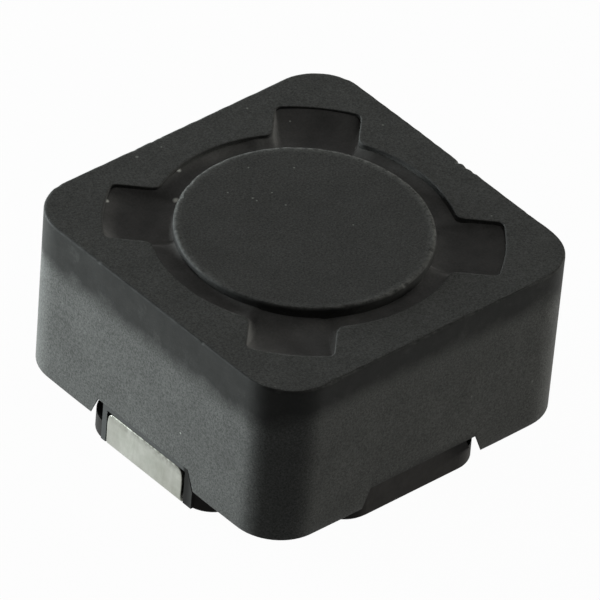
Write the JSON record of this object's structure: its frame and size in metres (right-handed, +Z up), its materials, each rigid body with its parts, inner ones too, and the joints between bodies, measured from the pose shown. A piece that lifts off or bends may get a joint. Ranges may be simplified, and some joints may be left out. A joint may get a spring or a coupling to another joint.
{
  "type": "shielded smd inductor",
  "caption": "Square shielded surface-mount power inductor: a wound ferrite drum in a notched ferrite ring, on a moulded base with tinned terminals on opposite sides.",
  "frame": {"origin": "on the board plane, under the centre of the shield", "axes": "+Z up away from the board, X through the two terminals, Y across them"},
  "size_m": [0.0124, 0.0124, 0.0069],
  "materials": {
    "shield_ferrite": "matte sintered ferrite, charcoal black with fine grain",
    "drum_ferrite": "matte ground ferrite, charcoal black with a pale worn rim",
    "enamelled_copper": "clear red-brown enamel over copper wire",
    "base_plastic": "black heat-resistant moulding, satin",
    "tinned_sheet": "matte tin plating on thin sheet",
    "solder": "smooth dull solder",
    "adhesive": "cured dark adhesive",
    "casting_resin": "black casting resin, satin, hollow surface"
  },
  "bodies": {
    "root": {"shield_core": "shield_ferrite", "drum_core": "drum_ferrite", "winding": "enamelled_copper", "lead_wire_start": "enamelled_copper", "lead_wire_finish": "enamelled_copper", "base_plate": "base_plastic", "terminal_left": "tinned_sheet", "terminal_right": "tinned_sheet", "solder_joint_left": "solder", "solder_joint_right": "solder", "core_adhesive": "adhesive", "core_epoxy": "casting_resin"}
  },
  "joints": []
}
